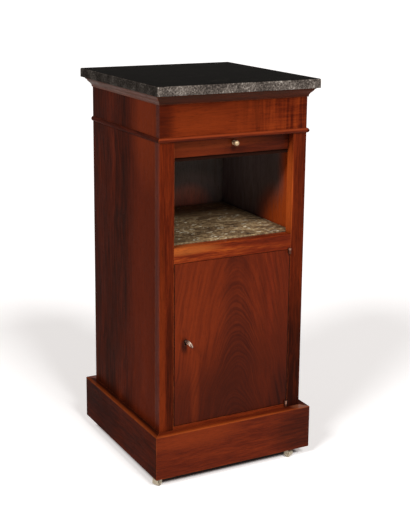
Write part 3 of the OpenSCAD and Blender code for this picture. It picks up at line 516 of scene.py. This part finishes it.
dress(["plinth_front_board", "plinth_back_board"], wood(
    "mahogany_plinth_x", "x", MAHOGANY_TONES, scale=0.8, shift=9.4, contrast=0.65,
    # Painted shade: darker at the lower right end
    stains_and_light=[((0.19, -0.195, 0.065), (0.12, THROUGH, 0.08), "2a100b", 0.7),
            ((-0.1, -0.195, 0.1), (0.14, THROUGH, 0.03), "8e3c1c", 0.4),
            # The lighter lines along the top edge are wear and painted highlight
            ((-0.05, -0.194, 0.1175), (0.3, 0.01, 0.0022), "96481f", 0.8),
            ((0.175, -0.182, 0.1175), (0.03, 0.02, 0.003), "94604c", 0.6)]))
dress(["plinth_left_board", "plinth_right_board"], wood(
    "mahogany_plinth_y", "y", SIDE_TONES, scale=0.9, shift=9.9, contrast=0.9, ior=GONE,
    # Painted shade: darker low at the back
    stains_and_light=[((-0.191, 0.14, 0.07), (0.03, 0.16, 0.09), "240c08", 0.6),
            # The lighter line along the top edge is wear and painted highlight
            ((-0.191, 0.0, 0.1175), (0.01, 0.4, 0.0024), "7c3a1c", 0.9)]))
dress(["door_panel"], flame_door())
dress(["back_panel"], wood(
    "back_with_painted_light", "z", PLAIN_TONES, scale=1.2, shift=10.2, gloss=0.5, contrast=0.4, polished=False,
    # All painted light: greys and a warm glow that lift the niche's shaded back
    stains_and_light=[((0.0, BACK, 0.605), (0.3, 0.008, 0.2), "7b726d", 1.0),
            ((0.07, BACK, 0.53), (0.12, 0.008, 0.09), "ac968e", 0.8),
            ((0.06, BACK, 0.525), (0.075, 0.008, 0.06), "ffa088", 0.85)]))
dress(["dust_board"], wood(
    "ceiling_with_painted_shade", "x", CEILING_SHADE_TONES, scale=1.2, shift=10.8, gloss=0.5, worn=0.0, polished=False, ior=GONE,
    # Painted shade over the front of the niche ceiling
    stains_and_light=[((0.0, -0.17, 0.7), (0.8, 0.06, 0.1), "28150f", 1.3)]))
dress(["top_board", "shelf_board", "door_stop", "corner_blocks"], wood(
    "secondary_x", "z", PLAIN_TONES, scale=1.2, shift=11.0, gloss=0.6, polished=False))
dress(["drawer_guides", "drawer_side_left", "drawer_side_right"], wood(
    "secondary_y", "y", PLAIN_TONES, scale=0.9, shift=12.0, gloss=0.6, polished=False))
dress(["drawer_back", "drawer_bottom"], wood(
    "secondary_drawer", "x", PLAIN_TONES, scale=0.9, shift=13.0, gloss=0.6, polished=False))
dress(["marble_top"], dark_stone())
dress(["stone_shelf"], niche_stone())
dress(["drawer_knob", "knob_nut"], metal("brass_knob", "bca280", "705c3e", 0.42, 0.6, 0.0, metallic=0.7))
# Two copies of one brass: the knuckles that catch a glint are painted lighter, the others painted darker as shade
dress(["hinge_bottom_fixed", "hinge_top_leaf"], metal("brass_hinge_painted_shade", "543226", "2c1810", 0.45, 0.65, 0.2))
dress(["hinge_top_fixed", "hinge_bottom_leaf"], metal("brass_hinge_painted_glint", "8c6656", "4c3026", 0.4, 0.6, 0.1))
dress(["hinge_screws_case", "hinge_screws_door", "strike_plate", "lock_case", "lock_bolt"],
      metal("brass_fittings", "84693f", "3c2c1a", 0.4, 0.6, 0.2))
dress([node for node in frame["nodes"] if node.startswith("castor")],
      metal("brass_castor", "a89c86", "4a3c2e", 0.4, 0.65, 0.1, metallic=0.45))
dress(["key"], metal("key_steel", "a89080", "2a1e1a", 0.26, 0.5, 0.16, metallic=0.85))
# Near-black, as painted shade of the key's shadow over the escutcheon
dress(["key_escutcheon"], metal("brass_escutcheon_painted_shade", "3a2018", "140a08", 0.5, 0.7, 0.3))

# ---------------------------------------------------------------- small fasteners

# The slot floors are near-black, with dirt and as painted shade
SLOT_DIRT_AND_SHADE = metal("slot_dirt_and_shade", "1c130e", "0c0806", 0.7, 0.8, 0.0)
SCREW_BRASS = metal("brass_screws", "927548", "403018", 0.38, 0.6, 0.15)
NAIL_IRON = metal("iron_nails", "4a4440", "2c201a", 0.55, 0.75, 0.2, metallic=0.8)

# A head stands this far out of its board, and reaches as far into it
PROUD = 0.22 * MM
# Outlines of a head and of the floor of its slot, from the foot up, as (size, height)
HEAD_RINGS = ((1.0, -PROUD), (1.0, 0.4 * PROUD), (0.86, PROUD))
SLOT_RINGS = ((0.9, -PROUD), (0.9, 0.15 * PROUD))


def heads(name, body, material, radius, out, places, slot=0.0):
    """Screw or nail heads in one mesh. out is the way they face; a place is (point, turn of the slot)."""
    verts, faces, kinds = [], [], []
    side = out.orthogonal()
    up = out.cross(side)

    def solid(outline, point, rings, kind):
        start, count = len(verts), len(outline)
        for size, rise in rings:
            verts.extend(point + (side * a + up * b) * size + out * rise for a, b in outline)
        for ring in range(start, len(verts) - count, count):
            faces.extend((ring + i, ring + (i + 1) % count, ring + count + (i + 1) % count, ring + count + i)
                         for i in range(count))
        faces.append(tuple(range(len(verts) - count, len(verts))))
        kinds.extend([kind] * (len(faces) - len(kinds)))

    def arc(first, last, turn, steps):
        angles = [first + (last - first) * i / steps for i in range(steps + 1)]
        return [(radius * math.cos(a + turn), radius * math.sin(a + turn)) for a in angles]

    def circle(turn, count):
        return arc(0.0, math.tau * (count - 1) / count, turn, count - 1)

    gap = math.asin(slot / 2 / radius)
    for point, turn in places:
        if slot:
            for half in (0.0, math.pi):
                solid(arc(gap, math.pi - gap, turn + half, 10), point, HEAD_RINGS, 0)
            solid(circle(turn, 20), point, SLOT_RINGS, 1)
        else:
            solid(circle(turn, 16), point, HEAD_RINGS, 0)
    mesh = bpy.data.meshes.new(name)
    mesh.from_pydata(verts, [], faces)
    mesh.materials.append(material)
    mesh.materials.append(SLOT_DIRT_AND_SHADE)
    mesh.polygons.foreach_set("material_index", kinds)
    thing = new_object(name, mesh)
    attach(thing, body)


low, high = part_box("lock_case")
left, right = low.x + 7 * MM, high.x - 7 * MM
bottom, top = low.z + 4.5 * MM, high.z - 4.5 * MM
turned = ((left, bottom, 0.4), (right, bottom, 1.3), (left, top, 2.2), (right, top, 0.1))
heads("lock_screws", "door", SCREW_BRASS, 2.3 * MM, Vector((0, 1, 0)),
      [(Vector((x, high.y, z)), turn) for x, z, turn in turned], slot=0.7 * MM)

low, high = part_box("strike_plate")
turned = ((low.z + 3.5 * MM, 0.9), (high.z - 3.5 * MM, 1.8))
heads("strike_screws", "case", SCREW_BRASS, 1.7 * MM, Vector((1, 0, 0)),
      [(Vector((high.x, (low.y + high.y) / 2, z)), turn) for z, turn in turned], slot=0.5 * MM)

low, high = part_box("back_panel")
nails = [(x, low.z + (0.03 + 0.094 * i)) for x in (low.x + 7 * MM, high.x - 7 * MM) for i in range(8)]
nails += [(x, z) for x in (-0.08, 0.0, 0.08) for z in (low.z + 9 * MM, 0.502)]
heads("back_nails", "case", NAIL_IRON, 2.1 * MM, Vector((0, 1, 0)), [(Vector((x, high.y, z)), 0.0) for x, z in nails])

# ---------------------------------------------------------------- studio

FLOOR_SIZE = 240.0
PAPER = (0.86, 0.86, 0.86)
# Painted brown shadow on the floor under the plinth
UNDER_PLINTH_SHADOW = (0.16, 0.1, 0.075)
# The floor's own glow, which lifts it to white for the camera and for what mirrors it
GLOW = (0.36, 0.33, 0.315, 1.0)
# From the middle of the floor: where the painted brown shadow under the plinth ends, where the glow begins, and how
# much further both of these stand to the sides than to the front
SHADOW_ENDS = (0.16, 0.177)
GLOW_BEGINS = (0.166, 0.178)
WIDER = 5 * MM
LAMP_SPREAD = math.radians(16)
LAMP_DISTANCE = 3.0
# Name, degrees to the right, degrees up, and level
LAMPS = (("softbox_front", 2, 42, 0.65), ("softbox_left", -62, 38, 0.62))
ROOM_LIGHT = 0.12


def looks_straight(nodes, links):
    """1 for a ray from the camera, also by way of a mirror or a glass."""
    rays = nodes.new("ShaderNodeLightPath")
    most = rays.outputs["Is Camera Ray"]
    for kind in ("Is Glossy Ray", "Is Transmission Ray"):
        node = nodes.new("ShaderNodeMath")
        node.operation = "MAXIMUM"
        links.new(most, node.inputs[0])
        links.new(rays.outputs[kind], node.inputs[1])
        most = node.outputs[0]
    return most


def studio_floor():
    """Pale paper, with a painted brown shadow under the plinth, where it is also all but without its glow."""
    t = Tree("studio_floor")
    outside = t.math("MAXIMUM", t.add(t.math("ABSOLUTE", t.x), -WIDER), t.math("ABSOLUTE", t.y))
    paper = t.nodes.new("ShaderNodeBsdfDiffuse")
    t.put(paper.inputs["Color"], t.blend(t.span(outside, *SHADOW_ENDS), UNDER_PLINTH_SHADOW, PAPER))
    shown = t.span(outside, *GLOW_BEGINS, 0.02, 1.0)
    glow = t.nodes.new("ShaderNodeEmission")
    t.fill(glow, {"Color": GLOW, "Strength": t.mul(looks_straight(t.nodes, t.links), shown)})
    both = t.nodes.new("ShaderNodeAddShader")
    t.fill(both, {0: paper.outputs[0], 1: glow.outputs[0]})
    t.links.new(both.outputs[0], t.output.inputs["Surface"])
    return t.material


def floor():
    half = FLOOR_SIZE / 2
    mesh = bpy.data.meshes.new("studio_floor")
    mesh.from_pydata([(-half, -half, 0), (half, -half, 0), (half, half, 0), (-half, half, 0)], [], [(0, 1, 2, 3)])
    mesh.materials.append(studio_floor())
    thing = new_object("studio_floor", mesh)


def lamp(name, turn, height, level):
    """Wide, far softbox, turned so many degrees from the front to the right and so many up.
    level is the share of a white surface's full tone that it gives where it shines square on."""
    turn, height = math.radians(turn), math.radians(height)
    away = Vector((math.sin(turn) * math.cos(height), -math.cos(turn) * math.cos(height), math.sin(height)))
    data = bpy.data.lights.new(name, "SUN")
    data.angle = LAMP_SPREAD
    data.energy = level * math.pi
    thing = new_object(name, data)
    thing.location = away * LAMP_DISTANCE
    thing.rotation_euler = away.to_track_quat("Z", "Y").to_euler()


def world(level):
    """White room for the camera and for what mirrors it, and an even, dim one as a light."""
    made = bpy.data.worlds.new("room")
    made.use_nodes = True
    nodes, links = made.node_tree.nodes, made.node_tree.links
    nodes.clear()
    strength = nodes.new("ShaderNodeMapRange")
    links.new(looks_straight(nodes, links), strength.inputs[0])
    strength.inputs["To Min"].default_value = level
    strength.inputs["To Max"].default_value = 1.0
    back = nodes.new("ShaderNodeBackground")
    back.inputs["Color"].default_value = (1.0, 1.0, 1.0, 1.0)
    links.new(strength.outputs[0], back.inputs["Strength"])
    links.new(back.outputs[0], nodes.new("ShaderNodeOutputWorld").inputs["Surface"])
    bpy.context.scene.world = made


floor()
for name, turn, height, level in LAMPS:
    lamp(name, turn, height, level)
world(ROOM_LIGHT)

# ---------------------------------------------------------------- camera

CAMERA_PLACE = Vector((-1.1323, -2.1699, 1.1148))
# In radians: to the right, down, and round the line of sight
YAW, PITCH, ROLL = 0.489, 0.2173, 0.0098
FOCAL_PX = 1116.4
LONG_SIDE_PX = 513
CENTRE_ROW_PX = 200
SENSOR = 36.0


def camera():
    ahead = Vector((math.sin(YAW) * math.cos(PITCH), math.cos(YAW) * math.cos(PITCH), -math.sin(PITCH)))
    right = Vector((math.cos(YAW), -math.sin(YAW), 0.0))
    up = right.cross(ahead)
    right_rolled = math.cos(ROLL) * right + math.sin(ROLL) * up
    up_rolled = -math.sin(ROLL) * right + math.cos(ROLL) * up
    data = bpy.data.cameras.new("camera")
    data.sensor_width = SENSOR
    data.lens = FOCAL_PX * SENSOR / LONG_SIDE_PX
    data.shift_y = (CENTRE_ROW_PX - LONG_SIDE_PX / 2) / LONG_SIDE_PX
    turn = Matrix((right_rolled, up_rolled, -ahead)).transposed().to_4x4()
    thing = new_object("camera", data)
    thing.matrix_world = Matrix.Translation(CAMERA_PLACE) @ turn
    bpy.context.scene.camera = thing


camera()
bpy.context.scene.view_settings.view_transform = "Standard"
